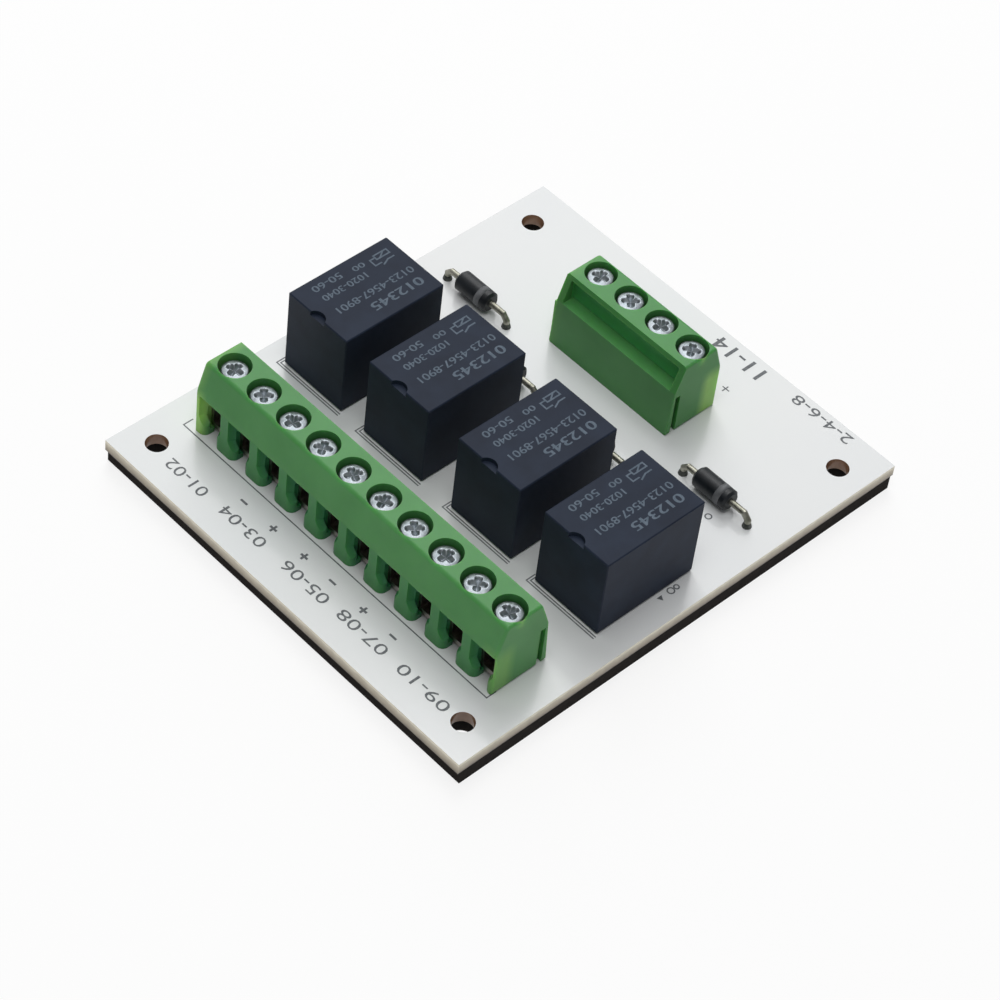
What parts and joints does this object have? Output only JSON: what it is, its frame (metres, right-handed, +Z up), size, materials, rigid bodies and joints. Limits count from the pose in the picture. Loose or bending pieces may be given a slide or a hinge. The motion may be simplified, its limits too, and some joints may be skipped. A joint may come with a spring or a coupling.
{
  "type": "relay module board",
  "caption": "Small white circuit board with a row of relays between two green screw terminal blocks, diodes behind the relays, corner mounting holes and a thin black backing pad.",
  "frame": {"origin": "centre of the part's bounding box at its lowest face, the underside of the backing pad", "axes": "+Z up from the pad to the parts; +Y from the long terminal block towards the short one, along the board's longer side; +X to the right of that, along the rows of relays and screws"},
  "size_m": [0.06, 0.0694, 0.0153],
  "materials": {
    "board": "white solder mask, satin gloss",
    "pad": "matt black foam rubber",
    "terminal_green": "green moulded plastic, soft gloss",
    "terminal_screw": "bright nickel plated steel",
    "terminal_clamp": "plated steel, slightly dull",
    "contact_strip": "tinned brass",
    "relay_case": "dark blue grey moulded plastic, satin",
    "relay_base": "black moulded plastic, matt",
    "relay_iron": "soft iron, zinc plated",
    "relay_bobbin": "pale moulded plastic",
    "relay_winding": "enamelled copper wire, glossy",
    "relay_terminal": "tinned brass",
    "diode_body": "black moulded plastic, satin, one pale band",
    "diode_lead": "tinned wire",
    "solder": "bright solder"
  },
  "bodies": {
    "root": {"backing_pad": "pad", "circuit_board": "board", "diode_1_body": "diode_body", "diode_1_leads": "diode_lead", "diode_2_body": "diode_body", "diode_2_leads": "diode_lead", "diode_3_body": "diode_body", "diode_3_leads": "diode_lead", "diode_4_body": "diode_body", "diode_4_leads": "diode_lead", "diode_solder": "solder", "front_contact_strips": "contact_strip", "front_terminal_housing": "terminal_green", "front_terminal_screws": "terminal_screw", "front_wire_clamps": "terminal_clamp", "rear_contact_strips": "contact_strip", "rear_terminal_housing": "terminal_green", "rear_terminal_screws": "terminal_screw", "rear_wire_clamps": "terminal_clamp", "relay_1_base": "relay_base", "relay_1_bobbin": "relay_bobbin", "relay_1_cover": "relay_case", "relay_1_terminals": "relay_terminal", "relay_1_winding": "relay_winding", "relay_1_yoke": "relay_iron", "relay_2_base": "relay_base", "relay_2_bobbin": "relay_bobbin", "relay_2_cover": "relay_case", "relay_2_terminals": "relay_terminal", "relay_2_winding": "relay_winding", "relay_2_yoke": "relay_iron", "relay_3_base": "relay_base", "relay_3_bobbin": "relay_bobbin", "relay_3_cover": "relay_case", "relay_3_terminals": "relay_terminal", "relay_3_winding": "relay_winding", "relay_3_yoke": "relay_iron", "relay_4_base": "relay_base", "relay_4_bobbin": "relay_bobbin", "relay_4_cover": "relay_case", "relay_4_terminals": "relay_terminal", "relay_4_winding": "relay_winding", "relay_4_yoke": "relay_iron", "relay_solder": "solder", "terminal_solder": "solder"},
    "armature_1": {"relay_1_armature": "relay_iron"},
    "armature_2": {"relay_2_armature": "relay_iron"},
    "armature_3": {"relay_3_armature": "relay_iron"},
    "armature_4": {"relay_4_armature": "relay_iron"}
  },
  "joints": [
    {"name": "armature_hinge_1", "type": "hinge", "parent": "root", "child": "armature_1", "pos_m": [-0.02163, 0.00215, 0.0127], "axis": [1, 0, 0], "range_deg": [0, 3.5], "stiffness_Nm_per_rad": 0.0001, "springref_deg": -17.19},
    {"name": "armature_hinge_2", "type": "hinge", "parent": "root", "child": "armature_2", "pos_m": [-0.00766, 0.00215, 0.0127], "axis": [1, 0, 0], "range_deg": [0, 3.5], "stiffness_Nm_per_rad": 0.0001, "springref_deg": -17.19},
    {"name": "armature_hinge_3", "type": "hinge", "parent": "root", "child": "armature_3", "pos_m": [0.00734, 0.00215, 0.0127], "axis": [1, 0, 0], "range_deg": [0, 3.5], "stiffness_Nm_per_rad": 0.0001, "springref_deg": -17.19},
    {"name": "armature_hinge_4", "type": "hinge", "parent": "root", "child": "armature_4", "pos_m": [0.02132, 0.00215, 0.0127], "axis": [1, 0, 0], "range_deg": [0, 3.5], "stiffness_Nm_per_rad": 0.0001, "springref_deg": -17.19}
  ]
}
